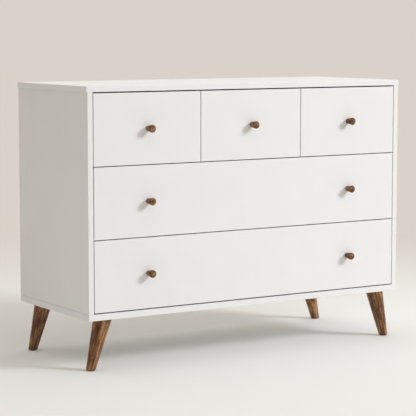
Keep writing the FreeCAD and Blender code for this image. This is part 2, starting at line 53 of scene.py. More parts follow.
def linear(code):
    """An sRGB hex colour as the linear colour that shaders take."""
    channels = [int(code[at:at + 2], 16) / 255 for at in (1, 3, 5)]
    return (*[c / 12.92 if c <= 0.04045 else ((c + 0.055) / 1.055) ** 2.4
              for c in channels], 1)


def start_material(name):
    """A new material and its empty node tree."""
    material = bpy.data.materials.new(name)
    material.use_nodes = True
    material.node_tree.nodes.clear()
    return material, material.node_tree


def add_node(tree, kind, inputs=(), **settings):
    """Adds a node, sets it up, and gives each input a value or a link."""
    node = tree.nodes.new(kind)
    for name, setting in settings.items():
        setattr(node, name, setting)
    for name, given in dict(inputs).items():
        if isinstance(given, bpy.types.NodeSocket):
            tree.links.new(given, node.inputs[name])
        else:
            node.inputs[name].default_value = given
    return node


def dress(material, *nodes):
    """Gives CAD nodes a better material."""
    for name in nodes:
        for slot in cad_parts[name].material_slots:
            slot.material = material


# Satin polyurethane lacquer, sprayed: a nearly neutral white, its film very slightly wavy, with
# orange peel of about 3 mm, drawn at 9 mm here so that it shows.
PEEL = 9 * MM
FILM_WAVE = 120 * MM
white_lacquer, tree = start_material("satin_white_lacquer")
where = add_node(tree, "ShaderNodeTexCoord").outputs["Object"]
wave = add_node(tree, "ShaderNodeTexNoise", {"Vector": where, "Scale": 1 / FILM_WAVE,
                                             "Detail": 2})
peel = add_node(tree, "ShaderNodeTexNoise", {"Vector": where, "Scale": 1 / PEEL, "Detail": 3})
tint = add_node(tree, "ShaderNodeMix", {0: wave.outputs["Fac"], 6: linear("#efeff0"),
                                        7: linear("#f3f3f4")}, data_type="RGBA")
sheen = add_node(tree, "ShaderNodeMapRange", {"Value": peel.outputs["Fac"], "From Min": 0.3,
                                              "From Max": 0.7, "To Min": 0.34, "To Max": 0.42})
relief = add_node(tree, "ShaderNodeMath", {0: wave.outputs["Fac"], 1: 6.0,
                                           2: peel.outputs["Fac"]}, operation="MULTIPLY_ADD")
bump = add_node(tree, "ShaderNodeBump", {"Height": relief.outputs[0], "Strength": 0.12,
                                         "Distance": 0.4 * MM})
shader = add_node(tree, "ShaderNodeBsdfPrincipled", {
    "Base Color": tint.outputs[2], "Roughness": sheen.outputs[0], "IOR": 1.5,
    "Normal": bump.outputs[0]})
add_node(tree, "ShaderNodeOutputMaterial", {"Surface": shader.outputs[0]})

dress(white_lacquer, "top_panel", "bottom_panel", "left_side_panel", "right_side_panel", "shelf",
      "left_divider", "right_divider")

# ---- back panel and its pins ----------------------------------------------------------------
# A 4 mm sheet of hardboard, white foil inside and bare fibre outside, let into a rebate all
# round. Steel panel pins hold it to the case, the shelf and the dividers.

# The fibres are too fine to show, so they are drawn as flecks of 2 mm in clouds of 90 mm.
FLECK = 2.2 * MM
FELT_CLOUD = 90 * MM
FOILED_FROM = 0.5


def hardboard(name, foil_side):
    """Pressed wood fibre: mottled brown with a pebbled skin, and smooth white foil on one face.

    foil_side is the direction that the foiled face looks.
    """
    material, tree = start_material(name)
    coordinates = add_node(tree, "ShaderNodeTexCoord")
    where = coordinates.outputs["Object"]
    cloud = add_node(tree, "ShaderNodeTexNoise", {"Vector": where, "Scale": 1 / FELT_CLOUD,
                                                  "Detail": 4})
    fleck = add_node(tree, "ShaderNodeTexNoise", {"Vector": where, "Scale": 1 / FLECK,
                                                  "Detail": 5, "Roughness": 0.7})
    mottle = add_node(tree, "ShaderNodeMath", {0: cloud.outputs["Fac"], 1: 0.35,
                                               2: fleck.outputs["Fac"]},
                      operation="MULTIPLY_ADD")
    fibre = add_node(tree, "ShaderNodeValToRGB", {"Fac": mottle.outputs[0]})
    ramp = fibre.color_ramp.elements
    ramp[0].position, ramp[0].color = 0.45, linear("#5f4630")
    ramp[1].position, ramp[1].color = 0.95, linear("#a08059")
    toward = add_node(tree, "ShaderNodeVectorMath", {0: coordinates.outputs["Normal"],
                                                     1: foil_side}, operation="DOT_PRODUCT")
    foiled = add_node(tree, "ShaderNodeMath", {0: toward.outputs["Value"], 1: FOILED_FROM},
                      operation="GREATER_THAN")
    colour = add_node(tree, "ShaderNodeMix", {0: foiled.outputs[0], 6: fibre.outputs["Color"],
                                              7: linear("#e9e7e1")}, data_type="RGBA")
    roughness = add_node(tree, "ShaderNodeMapRange", {"Value": foiled.outputs[0],
                                                      "To Min": 0.72, "To Max": 0.45})
    bump = add_node(tree, "ShaderNodeBump", {"Height": fleck.outputs["Fac"], "Strength": 0.25,
                                             "Distance": 0.3 * MM})
    shader = add_node(tree, "ShaderNodeBsdfPrincipled", {
        "Base Color": colour.outputs[2], "Roughness": roughness.outputs[0], "IOR": 1.5,
        "Normal": bump.outputs[0]})
    add_node(tree, "ShaderNodeOutputMaterial", {"Surface": shader.outputs[0]})
    return material


dress(hardboard("hardboard_white_inside", (0, -1, 0)), "back_panel")

# Bright zinc plating on steel: a cool grey with faint clouds from the bath, fairly smooth.
PLATING_CLOUD = 14 * MM
zinc_plated_steel, tree = start_material("zinc_plated_steel")
where = add_node(tree, "ShaderNodeTexCoord").outputs["Object"]
cloud = add_node(tree, "ShaderNodeTexNoise", {"Vector": where, "Scale": 1 / PLATING_CLOUD,
                                              "Detail": 3})
tint = add_node(tree, "ShaderNodeMix", {0: cloud.outputs["Fac"], 6: linear("#9fa3a6"),
                                        7: linear("#c6c8c6")}, data_type="RGBA")
haze = add_node(tree, "ShaderNodeMapRange", {"Value": cloud.outputs["Fac"], "To Min": 0.26,
                                             "To Max": 0.46})
shader = add_node(tree, "ShaderNodeBsdfPrincipled", {
    "Base Color": tint.outputs[2], "Metallic": 1.0, "Roughness": haze.outputs[0]})
add_node(tree, "ShaderNodeOutputMaterial", {"Surface": shader.outputs[0]})


def add_turned(mesh, outline, angles, place):
    """A closed solid turned round Z from (radius, height) points, then put in its place.

    A radius that is a function of the angle makes that ring a hexagon, a cross or a thread.
    """
    rings = []
    for radius, height in outline:
        if radius == 0:
            rings.append([mesh.verts.new(place @ Vector((0, 0, height)))])
            continue
        ring = []
        for angle in angles:
            reach = radius(angle) if callable(radius) else radius
            spot = Vector((reach * math.cos(angle), reach * math.sin(angle), height))
            ring.append(mesh.verts.new(place @ spot))
        rings.append(ring)
    for lower, upper in zip(rings, rings[1:]):
        for step in range(len(angles)):
            corners = [lower[step % len(lower)], lower[(step + 1) % len(angles) % len(lower)],
                       upper[(step + 1) % len(angles) % len(upper)], upper[step % len(upper)]]
            mesh.faces.new(list(dict.fromkeys(corners)))


def even_angles(count):
    """The angles of a ring's corners."""
    return [step * math.tau / count for step in range(count)]


def spread(start, end, spacing):
    """Evenly spaced places from start to end, no further apart than the spacing."""
    count = math.ceil((end - start) / spacing)
    return [start + (end - start) * step / count for step in range(count + 1)]


SMOOTH_UNDER = math.radians(35)


def finish_piece(name, mesh, material, body):
    """Makes the piece of a built mesh, smooth where its faces meet gently."""
    bmesh.ops.recalc_face_normals(mesh, faces=mesh.faces)
    data = bpy.data.meshes.new(name)
    mesh.to_mesh(data)
    mesh.free()
    data.materials.append(material)
    data.shade_smooth()
    data.set_sharp_from_angle(angle=SMOOTH_UNDER)
    piece = bpy.data.objects.new(name, data)
    bpy.context.scene.collection.objects.link(piece)
    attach(piece, body)
    return piece


def facing(direction, place):
    """The placement whose Z axis points along a direction from a place."""
    turn = Vector(direction).to_track_quat("Z", "Y").to_matrix().to_4x4()
    return Matrix.Translation(place) @ turn


PIN_SPACING = 110 * MM
PIN_EDGE = 4 * MM
PIN_LENGTH = 20 * MM
PIN_POINT = 2 * MM
PIN_RADIUS = 0.7 * MM
PIN_NECK = 0.6 * MM
PIN_HEAD_RADIUS = 2.6 * MM
PIN_HEAD_SUNK = 0.2 * MM
PIN_HEAD_PROUD = 0.02 * MM
PIN_CORNERS = even_angles(12)
PIN_OUTLINE = [(0, -PIN_LENGTH), (PIN_RADIUS, -PIN_LENGTH + PIN_POINT), (PIN_RADIUS, -PIN_NECK),
               (PIN_HEAD_RADIUS, -PIN_HEAD_SUNK), (PIN_HEAD_RADIUS, PIN_HEAD_PROUD),
               (0, PIN_HEAD_PROUD)]

low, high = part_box("back_panel")
pin_places = []
for x in spread(low.x + PIN_EDGE, high.x - PIN_EDGE, PIN_SPACING):
    pin_places += [(x, low.z + PIN_EDGE), (x, high.z - PIN_EDGE)]
for z in spread(low.z + PIN_EDGE, high.z - PIN_EDGE, PIN_SPACING)[1:-1]:
    pin_places += [(low.x + PIN_EDGE, z), (high.x - PIN_EDGE, z)]
shelf_low, shelf_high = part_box("shelf")
shelf_line = (shelf_low.z + shelf_high.z) / 2
for x in spread(low.x + PIN_EDGE, high.x - PIN_EDGE, PIN_SPACING)[1:-1]:
    pin_places.append((x, shelf_line))
for divider in ("left_divider", "right_divider"):
    divider_low, divider_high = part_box(divider)
    line = (divider_low.x + divider_high.x) / 2
    for z in spread(shelf_line, high.z - PIN_EDGE, PIN_SPACING)[1:-1]:
        pin_places.append((line, z))
pins = bmesh.new()
for x, z in pin_places:
    add_turned(pins, PIN_OUTLINE, PIN_CORNERS, facing((0, 1, 0), (x, high.y, z)))
finish_piece("back_pins", pins, zinc_plated_steel, "case")

# ---- case screws and cams -------------------------------------------------------------------
# Six confirmat screws go up through the bottom panel into the sides: a flat head with a
# hexagon socket, flush with the underside, and a coarse thread. Turned cams hold the rest.


def hexagon(across):
    """A ring's radius that makes it a hexagon of this width across its flats."""
    side = math.pi / 3
    return lambda angle: across / 2 / math.cos((angle + side / 2) % side - side / 2)


RINGS_PER_TURN = 6


def thread(core, crest, pitch, start, end):
    """Rings that wind a thread's ridge, from core to crest radius, up from start to end."""
    def ridge(height):
        def reach(angle):
            climb = (height / pitch - angle / math.tau) % 1
            return core + (crest - core) * abs(2 * climb - 1)
        return reach

    heights = [start + step * pitch / RINGS_PER_TURN
               for step in range(round((end - start) / pitch * RINGS_PER_TURN) + 1)]
    return [(ridge(height), height) for height in heights]


SOCKET_ACROSS = 4 * MM
SOCKET_MOUTH = SOCKET_ACROSS * 1.1
SOCKET_DEPTH = 2.6 * MM
SOCKET_EASE = 0.2 * MM
CONFIRMAT_HEAD_RADIUS = 5 * MM
CONFIRMAT_HEAD_HEIGHT = 3.5 * MM
CONFIRMAT_HEAD_EASE = 0.4 * MM
CONFIRMAT_SHANK_RADIUS = 2.5 * MM
CONFIRMAT_PLAIN_END = CONFIRMAT_HEAD_HEIGHT + 8 * MM
CONFIRMAT_THREAD_START = CONFIRMAT_HEAD_HEIGHT + 9 * MM
CONFIRMAT_CORE_RADIUS = 1.7 * MM
CONFIRMAT_PITCH = 3 * MM
CONFIRMAT_POINT = 3 * MM
CONFIRMAT_CORNERS = even_angles(24)

low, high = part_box("case_screws")
length = high.z - low.z
outline = [(0, SOCKET_DEPTH), (hexagon(SOCKET_ACROSS), SOCKET_DEPTH),
           (hexagon(SOCKET_ACROSS), SOCKET_EASE), (hexagon(SOCKET_MOUTH), 0),
           (CONFIRMAT_HEAD_RADIUS - CONFIRMAT_HEAD_EASE, 0),
           (CONFIRMAT_HEAD_RADIUS, CONFIRMAT_HEAD_EASE),
           (CONFIRMAT_HEAD_RADIUS, CONFIRMAT_HEAD_HEIGHT),
           (CONFIRMAT_SHANK_RADIUS, CONFIRMAT_HEAD_HEIGHT + SOCKET_EASE),
           (CONFIRMAT_SHANK_RADIUS, CONFIRMAT_PLAIN_END),
           *thread(CONFIRMAT_CORE_RADIUS, CONFIRMAT_SHANK_RADIUS, CONFIRMAT_PITCH,
                   CONFIRMAT_THREAD_START, length - CONFIRMAT_POINT),
           (0, length)]
case_screws = bmesh.new()
for x in (low.x + CONFIRMAT_HEAD_RADIUS, high.x - CONFIRMAT_HEAD_RADIUS):
    for y in (low.y + CONFIRMAT_HEAD_RADIUS, (low.y + high.y) / 2,
              high.y - CONFIRMAT_HEAD_RADIUS):
        add_turned(case_screws, outline, CONFIRMAT_CORNERS, Matrix.Translation((x, y, low.z)))
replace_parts(finish_piece("confirmat_screws", case_screws, zinc_plated_steel, "case"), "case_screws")


def cross(length, width):
    """A ring's radius that makes it a cross, with arms of this half length and half width."""
    never_zero = 1e-9

    def reach(angle):
        across = abs(math.cos(angle)) + never_zero
        up = abs(math.sin(angle)) + never_zero
        return max(min(length / across, width / up), min(width / across, length / up))
    return reach


def cross_angles(length, width, count):
    """Even angles and those of the cross's corners, in order."""
    corner = math.atan2(width, length)
    corners = [turn * math.pi / 2 + side * corner for turn in range(4) for side in (-1, 1)]
    return sorted({round(angle % math.tau, 6) for angle in even_angles(count) + corners})


# A cam is a 15 mm zinc-plated drum with a cross recess, let into a bore almost flush.
CAM_RADIUS = 7.5 * MM
CAM_DRUM_RADIUS = 7.2 * MM
CAM_FACE_RADIUS = 7 * MM
CAM_EASE = 0.2 * MM
CAM_PROUD = 0.5 * MM
CAM_DEPTH = 9 * MM
CAM_ARM = 3.4 * MM
CAM_SLOT = 0.7 * MM
CAM_SLOT_DEPTH = 2 * MM
CAM_SLOT_MIDDLE = 2.4 * MM
CAM_OUTLINE = [(0, -CAM_DEPTH), (CAM_DRUM_RADIUS, -CAM_DEPTH), (CAM_DRUM_RADIUS, -CAM_EASE),
               (CAM_RADIUS, 0), (CAM_RADIUS, CAM_PROUD - CAM_EASE),
               (CAM_FACE_RADIUS, CAM_PROUD), (cross(CAM_ARM, CAM_SLOT), CAM_PROUD),
               (cross(CAM_ARM * 0.85, CAM_SLOT * 0.8), -CAM_SLOT_DEPTH), (0, -CAM_SLOT_MIDDLE)]
CAM_CORNERS = cross_angles(CAM_ARM, CAM_SLOT, 32)
CAM_INSET = 34 * MM

case_cams = bmesh.new()
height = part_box("top_panel")[0].z - CAM_INSET
low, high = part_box("left_divider")
cam_rows = (low.y + 2 * CAM_INSET, high.y - 2 * CAM_INSET)
side_faces = [(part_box("left_side_panel")[1].x, 1), (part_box("right_side_panel")[0].x, -1),
              (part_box("left_divider")[0].x, -1), (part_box("right_divider")[1].x, 1)]
for face, way in side_faces:
    for y in cam_rows:
        add_turned(case_cams, CAM_OUTLINE, CAM_CORNERS, facing((way, 0, 0), (face, y, height)))
for x in (shelf_low.x + CAM_INSET, shelf_high.x - CAM_INSET):
    for y in cam_rows:
        add_turned(case_cams, CAM_OUTLINE, CAM_CORNERS, facing((0, 0, -1), (x, y, shelf_low.z)))
finish_piece("case_cams", case_cams, zinc_plated_steel, "case")

# ---- legs -----------------------------------------------------------------------------------
# Turned walnut, oiled and then sealed with a matt lacquer. The grain runs down each leg, and
# each was cut from a different place in the plank, so no two have the same figure.

# Growth rings are about 3 mm apart, fibres 0.5 mm and pores 0.2 mm: all are drawn coarser, so
# that they show. A ring texture of scale pi / 10 has one ring to the metre.
RING = 9 * MM
FIBRE = 1.6 * MM
PORE = 0.9 * MM
BLOTCH = 16 * MM
FIGURE_STRETCH = 4
FIBRE_STRETCH = 18


def walnut(name, pith, lean, tones):
    """Oiled walnut: brown, streaked and open-pored, with a low sheen that follows its fibres.

    The rings turn round a pith, which lies outside the piece and leans as the piece does. tones
    are the dark, middle and light browns.
    """
    material, tree = start_material(name)
    where = add_node(tree, "ShaderNodeTexCoord").outputs["Object"]
    figure = add_node(tree, "ShaderNodeMapping", {
        "Vector": where, "Location": pith, "Rotation": lean,
        "Scale": (1, 1, FIGURE_STRETCH)},
        vector_type="TEXTURE").outputs[0]
    fibres = add_node(tree, "ShaderNodeMapping", {
        "Vector": where, "Location": pith, "Rotation": lean,
        "Scale": (1, 1, FIBRE_STRETCH)},
        vector_type="TEXTURE").outputs[0]
    rings = add_node(tree, "ShaderNodeTexWave", {
        "Vector": figure, "Scale": math.pi / 10 / RING, "Distortion": 4.5, "Detail": 3,
        "Detail Scale": 1.3, "Detail Roughness": 0.55},
        wave_type="RINGS", rings_direction="Z")
    blotch = add_node(tree, "ShaderNodeTexNoise", {"Vector": figure, "Scale": 1 / BLOTCH,
                                                   "Detail": 3})
    fibre = add_node(tree, "ShaderNodeTexNoise", {"Vector": fibres, "Scale": 1 / FIBRE,
                                                  "Detail": 4, "Roughness": 0.65})
    pore = add_node(tree, "ShaderNodeTexNoise", {"Vector": fibres, "Scale": 1 / PORE,
                                                 "Detail": 2})
    ringed = add_node(tree, "ShaderNodeMath", {0: rings.outputs["Fac"], 1: 0.13,
                                               2: blotch.outputs["Fac"]},
                      operation="MULTIPLY_ADD")
    streaked = add_node(tree, "ShaderNodeMath", {0: fibre.outputs["Fac"], 1: 0.5,
                                                 2: ringed.outputs[0]},
                        operation="MULTIPLY_ADD")
    wood = add_node(tree, "ShaderNodeValToRGB", {"Fac": streaked.outputs[0]})
    ramp = wood.color_ramp.elements
    ramp[0].position, ramp[0].color = 0.55, linear(tones[0])
    ramp[1].position, ramp[1].color = 1.0, linear(tones[2])
    middle = ramp.new(0.8)
    middle.color = linear(tones[1])
    pored = add_node(tree, "ShaderNodeMapRange", {"Value": pore.outputs["Fac"],
                                                  "From Min": 0.3, "From Max": 0.42})
    colour = add_node(tree, "ShaderNodeMix", {0: pored.outputs[0], 6: linear("#301b0e"),
                                              7: wood.outputs["Color"]}, data_type="RGBA")
    matt = add_node(tree, "ShaderNodeMapRange", {"Value": fibre.outputs["Fac"],
                                                 "To Min": 0.5, "To Max": 0.36})
    bump = add_node(tree, "ShaderNodeBump", {"Height": pored.outputs[0], "Strength": 0.35,
                                             "Distance": 0.25 * MM})
    shader = add_node(tree, "ShaderNodeBsdfPrincipled", {
        "Base Color": colour.outputs[2], "Roughness": matt.outputs[0], "IOR": 1.48,
        "Specular IOR Level": 0.3, "Normal": bump.outputs[0]})
    add_node(tree, "ShaderNodeOutputMaterial", {"Surface": shader.outputs[0]})
    return material


LEG_TONES = ("#2e190b", "#7a5336", "#b88a5f")
SPLAY = math.radians(15)
LEG_PITH_AWAY = 45 * MM
LEG_PITH_BEARINGS = {"front_left_leg": 0.4, "front_right_leg": 2.1, "back_left_leg": 3.6,
                     "back_right_leg": 5.3}
for name, bearing in LEG_PITH_BEARINGS.items():
    low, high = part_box(name)
    leans_out = 1 if low.x < 0 else -1
    pith = Vector(((low.x + high.x) / 2 + LEG_PITH_AWAY * math.cos(bearing),
                   (low.y + high.y) / 2 + LEG_PITH_AWAY * math.sin(bearing), low.z))
    dress(walnut(f"oiled_walnut_{name}", pith, (0, leans_out * SPLAY, 0), LEG_TONES), name)

# Hanger bolts, half wood thread and half machine thread, hold the legs in flanged inserts.
# A beech dowel beside each stops the leg turning, and a nylon glide is pressed under it.
BOLT_RADIUS = 4 * MM
BOLT_TIP = 1 * MM
BOLT_POINT = 3 * MM
BOLT_WOOD_CORE = 2.9 * MM
BOLT_WOOD_PITCH = 3 * MM
BOLT_WOOD_END = 5 * MM
BOLT_WAIST_RADIUS = 3.6 * MM
BOLT_WAIST_START = 4 * MM
BOLT_WAIST_END = 1 * MM
BOLT_MACHINE_CORE = 3.4 * MM
BOLT_MACHINE_PITCH = 1.25 * MM
BOLT_END = 1.5 * MM
BOLT_END_RADIUS = 3 * MM
BOLT_CORNERS = even_angles(20)

low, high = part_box("leg_bolts")
length = high.z - low.z
leg_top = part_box("bottom_panel")[0].z - low.z
outline = [(0, 0), (BOLT_TIP, BOLT_TIP),
           *thread(BOLT_WOOD_CORE, BOLT_RADIUS, BOLT_WOOD_PITCH, BOLT_POINT,
                   leg_top - BOLT_WOOD_END),
           (BOLT_WAIST_RADIUS, leg_top - BOLT_WAIST_START),
           (BOLT_WAIST_RADIUS, leg_top - BOLT_WAIST_END),
           *thread(BOLT_MACHINE_CORE, BOLT_RADIUS, BOLT_MACHINE_PITCH, leg_top,
                   length - BOLT_END),
           (BOLT_END_RADIUS, length), (0, length)]
leg_bolts = bmesh.new()
for x in (low.x + BOLT_RADIUS, high.x - BOLT_RADIUS):
    for y in (low.y + BOLT_RADIUS, high.y - BOLT_RADIUS):
        add_turned(leg_bolts, outline, BOLT_CORNERS, Matrix.Translation((x, y, low.z)))
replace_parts(finish_piece("hanger_bolts", leg_bolts, zinc_plated_steel, "case"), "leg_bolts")
dress(zinc_plated_steel, "leg_inserts")

# Beech: pale pink-brown and dull, with short darker flecks along the grain.
BEECH_FLECK = 1 * MM
BEECH_STRETCH = 8
beech, tree = start_material("fluted_beech")
where = add_node(tree, "ShaderNodeTexCoord").outputs["Object"]
along = add_node(tree, "ShaderNodeMapping", {"Vector": where, "Scale": (1, 1, BEECH_STRETCH)},
                 vector_type="TEXTURE")
fleck = add_node(tree, "ShaderNodeTexNoise", {"Vector": along.outputs[0],
                                              "Scale": 1 / BEECH_FLECK, "Detail": 3})
tint = add_node(tree, "ShaderNodeMix", {0: fleck.outputs["Fac"], 6: linear("#b98a5e"),
                                        7: linear("#e0bd92")}, data_type="RGBA")
shader = add_node(tree, "ShaderNodeBsdfPrincipled", {
    "Base Color": tint.outputs[2], "Roughness": 0.6, "IOR": 1.45})
add_node(tree, "ShaderNodeOutputMaterial", {"Surface": shader.outputs[0]})

FLUTES = 12
FLUTE_DEPTH = 0.07
FLUTE_EDGE = 0.3
DOWEL_RADIUS = 4 * MM
DOWEL_END_RADIUS = 3 * MM
DOWEL_CHAMFER = 1.2 * MM
DOWEL_CORNERS = even_angles(FLUTES * 6)


def fluted(radius):
    """A ring's radius that is cut back in every flute."""
    return lambda angle: radius * (1 - FLUTE_DEPTH * (math.cos(FLUTES * angle) > FLUTE_EDGE))


low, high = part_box("leg_dowels")
length = high.z - low.z
outline = [(0, 0), (DOWEL_END_RADIUS, 0), (fluted(DOWEL_RADIUS), DOWEL_CHAMFER),
           (fluted(DOWEL_RADIUS), length - DOWEL_CHAMFER), (DOWEL_END_RADIUS, length),
           (0, length)]
leg_dowels = bmesh.new()
for x in (low.x + DOWEL_RADIUS, high.x - DOWEL_RADIUS):
    for y in (low.y + DOWEL_RADIUS, high.y - DOWEL_RADIUS):
        add_turned(leg_dowels, outline, DOWEL_CORNERS, Matrix.Translation((x, y, low.z)))
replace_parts(finish_piece("fluted_dowels", leg_dowels, beech, "case"), "leg_dowels")

# Moulded nylon: a warm dark grey with a fine spark texture, dull.
SPARK = 0.8 * MM
nylon, tree = start_material("moulded_nylon")
where = add_node(tree, "ShaderNodeTexCoord").outputs["Object"]
grit = add_node(tree, "ShaderNodeTexNoise", {"Vector": where, "Scale": 1 / SPARK, "Detail": 2})
tint = add_node(tree, "ShaderNodeMix", {0: grit.outputs["Fac"], 6: linear("#35312d"),
                                        7: linear("#45403b")}, data_type="RGBA")
bump = add_node(tree, "ShaderNodeBump", {"Height": grit.outputs["Fac"], "Strength": 0.3,
                                         "Distance": 0.1 * MM})
shader = add_node(tree, "ShaderNodeBsdfPrincipled", {
    "Base Color": tint.outputs[2], "Roughness": 0.55, "IOR": 1.53, "Normal": bump.outputs[0]})
add_node(tree, "ShaderNodeOutputMaterial", {"Surface": shader.outputs[0]})
dress(nylon, "leg_glides")

# ---- drawer boxes ---------------------------------------------------------------------------
# Sides and backs are 12 mm birch plywood with a clear lacquer, grooved for a thin white-faced
# hardboard bottom that slides in from behind. Two screws at each rear corner hold the back.

PLIES = 9
VENEER_STREAK = 5 * MM
VENEER_FIBRE = 1.2 * MM
VENEER_STRETCH = 14
DRAWERS = ("top_left", "top_centre", "top_right", "middle", "bottom")


def plywood(name, thick, grain):
    """Birch plywood: pale, silky face veneer, and edges striped by the plies.

    thick is the axis through the board, and grain is how far each axis stretches the pattern.
    """
    material, tree = start_material(name)
    coordinates = add_node(tree, "ShaderNodeTexCoord")
    drawn = add_node(tree, "ShaderNodeMapping", {"Vector": coordinates.outputs["Object"],
                                                 "Scale": grain}, vector_type="TEXTURE")
    streak = add_node(tree, "ShaderNodeTexNoise", {
        "Vector": drawn.outputs[0], "Scale": 1 / VENEER_STREAK, "Detail": 4, "Distortion": 0.4})
    fibre = add_node(tree, "ShaderNodeTexNoise", {
        "Vector": drawn.outputs[0], "Scale": 1 / VENEER_FIBRE, "Detail": 3})
    blend = add_node(tree, "ShaderNodeMath", {0: fibre.outputs["Fac"], 1: 0.35,
                                              2: streak.outputs["Fac"]},
                     operation="MULTIPLY_ADD")
    veneer = add_node(tree, "ShaderNodeValToRGB", {"Fac": blend.outputs[0]})
    ramp = veneer.color_ramp.elements
    ramp[0].position, ramp[0].color = 0.42, linear("#cfae7c")
    ramp[1].position, ramp[1].color = 0.88, linear("#ebd6b0")
    depth = add_node(tree, "ShaderNodeVectorMath", {0: coordinates.outputs["Generated"],
                                                    1: thick}, operation="DOT_PRODUCT")
    layer = add_node(tree, "ShaderNodeMath", {0: depth.outputs["Value"], 1: PLIES / 2},
                     operation="MULTIPLY")
    part = add_node(tree, "ShaderNodeMath", {0: layer.outputs[0]}, operation="FRACT")
    crosswise = add_node(tree, "ShaderNodeMath", {0: part.outputs[0], 1: 0.5},
                         operation="GREATER_THAN")
    plies = add_node(tree, "ShaderNodeMix", {0: crosswise.outputs[0], 6: linear("#dcc193"),
                                             7: linear("#a87c4a")}, data_type="RGBA")
    toward = add_node(tree, "ShaderNodeVectorMath", {0: coordinates.outputs["Normal"],
                                                     1: thick}, operation="DOT_PRODUCT")
    flat = add_node(tree, "ShaderNodeMath", {0: toward.outputs["Value"]}, operation="ABSOLUTE")
    on_face = add_node(tree, "ShaderNodeMath", {0: flat.outputs[0], 1: 0.8},
                       operation="GREATER_THAN")
    colour = add_node(tree, "ShaderNodeMix", {0: on_face.outputs[0], 6: plies.outputs[2],
                                              7: veneer.outputs["Color"]}, data_type="RGBA")
    bump = add_node(tree, "ShaderNodeBump", {"Height": fibre.outputs["Fac"], "Strength": 0.2,
                                             "Distance": 0.15 * MM})
    satin = add_node(tree, "ShaderNodeMapRange", {"Value": on_face.outputs[0], "To Min": 0.65,
                                                  "To Max": 0.42})
    shader = add_node(tree, "ShaderNodeBsdfPrincipled", {
        "Base Color": colour.outputs[2], "Roughness": satin.outputs[0], "IOR": 1.48,
        "Normal": bump.outputs[0]})
    add_node(tree, "ShaderNodeOutputMaterial", {"Surface": shader.outputs[0]})
    return material


side_plywood = plywood("birch_plywood_sides", (1, 0, 0), (1, VENEER_STRETCH, 1))
back_plywood = plywood("birch_plywood_backs", (0, 1, 0), (VENEER_STRETCH, 1, 1))
foiled_bottom = hardboard("hardboard_white_above", (0, 0, 1))
for drawer in DRAWERS:
    dress(side_plywood, f"{drawer}_drawer_left_side", f"{drawer}_drawer_right_side")
    dress(back_plywood, f"{drawer}_drawer_back")
    dress(foiled_bottom, f"{drawer}_drawer_bottom")

RECESS_ARM = 2.1 * MM
RECESS_SLOT = 0.45 * MM
RECESS_DEPTH = 1.5 * MM
RECESS_MIDDLE = 1.9 * MM
SCREW_CORNERS = cross_angles(RECESS_ARM, RECESS_SLOT, 24)
SCREW_POINT = 3 * MM
SCREW_NECK = 1 * MM


def screw(head_radius, head_height, shank_radius, length):
    """A low domed head with a cross recess, standing on Z = 0, over a threaded shank."""
    core, pitch = shank_radius * 0.7, shank_radius * 0.9
    return [(0, -length), (shank_radius * 0.4, -length + SCREW_POINT / 2),
            *thread(core, shank_radius, pitch, -length + SCREW_POINT, -SCREW_NECK),
            (shank_radius, 0), (head_radius, 0), (head_radius * 0.93, head_height * 0.6),
            (head_radius * 0.7, head_height), (cross(RECESS_ARM, RECESS_SLOT), head_height),
            (cross(RECESS_ARM * 0.6, RECESS_SLOT * 0.8), head_height - RECESS_DEPTH),
            (0, head_height - RECESS_MIDDLE)]


BOX_SCREW = screw(3.6 * MM, 0.5 * MM, 1.8 * MM, 30 * MM)
BOX_SCREW_HEIGHTS = (35 * MM, 125 * MM)
BOX_CAM_HEIGHTS = (45 * MM, 140 * MM)
for drawer in DRAWERS:
    back_low, back_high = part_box(f"{drawer}_drawer_back")
    box_screws = bmesh.new()
    front_cams = bmesh.new()
    for side, outward in (("left", -1), ("right", 1)):
        low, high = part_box(f"{drawer}_drawer_{side}_side")
        outer, inner = (low.x, high.x) if outward < 0 else (high.x, low.x)
        for height in BOX_SCREW_HEIGHTS:
            place = (outer, (back_low.y + back_high.y) / 2, low.z + height)
            add_turned(box_screws, BOX_SCREW, SCREW_CORNERS, facing((outward, 0, 0), place))
        for height in BOX_CAM_HEIGHTS:
            place = (inner, low.y + CAM_INSET, low.z + height)
            add_turned(front_cams, CAM_OUTLINE, CAM_CORNERS, facing((-outward, 0, 0), place))
    body = f"{drawer}_drawer"
    finish_piece(f"{drawer}_box_screws", box_screws, zinc_plated_steel, body)
    finish_piece(f"{drawer}_front_cams", front_cams, zinc_plated_steel, body)

# ---- drawer fronts --------------------------------------------------------------------------
# 18 mm fibreboard in the same sprayed white lacquer as the case, eased round the face and
# joined to the box by its cams.

dress(white_lacquer, *[f"{drawer}_drawer_front" for drawer in DRAWERS])

# ---- knobs and their screws -----------------------------------------------------------------
# Solid walnut, turned with the grain along the knob so that its head shows end grain. A long
# screw with a washer comes through the front from inside the drawer.

KNOBS = {"top_left": ["top_left_knob"], "top_centre": ["top_centre_knob"],
         "top_right": ["top_right_knob"], "middle": ["middle_left_knob", "middle_right_knob"],
         "bottom": ["bottom_left_knob", "bottom_right_knob"]}
KNOB_TONES = ("#341d0e", "#6f4a2d", "#a47950")
KNOB_PITH_AWAY = 9 * MM
KNOB_PITH_TURN = 2.4
KNOB_SCREW = screw(4 * MM, 2.2 * MM, 1.9 * MM, 34 * MM)
WASHER_HOLE = 2.2 * MM
WASHER_RADIUS = 6 * MM
WASHER_THICKNESS = 1 * MM
WASHER_EASE = 0.2 * MM
WASHER_CORNERS = even_angles(32)
WASHER_OUTLINE = [(WASHER_HOLE, 0), (WASHER_RADIUS - WASHER_EASE, 0),
                  (WASHER_RADIUS, WASHER_EASE), (WASHER_RADIUS, WASHER_THICKNESS - WASHER_EASE),
                  (WASHER_RADIUS - WASHER_EASE, WASHER_THICKNESS),
                  (WASHER_HOLE, WASHER_THICKNESS), (WASHER_HOLE, 0)]
SAME_PLACE = 0.01 * MM
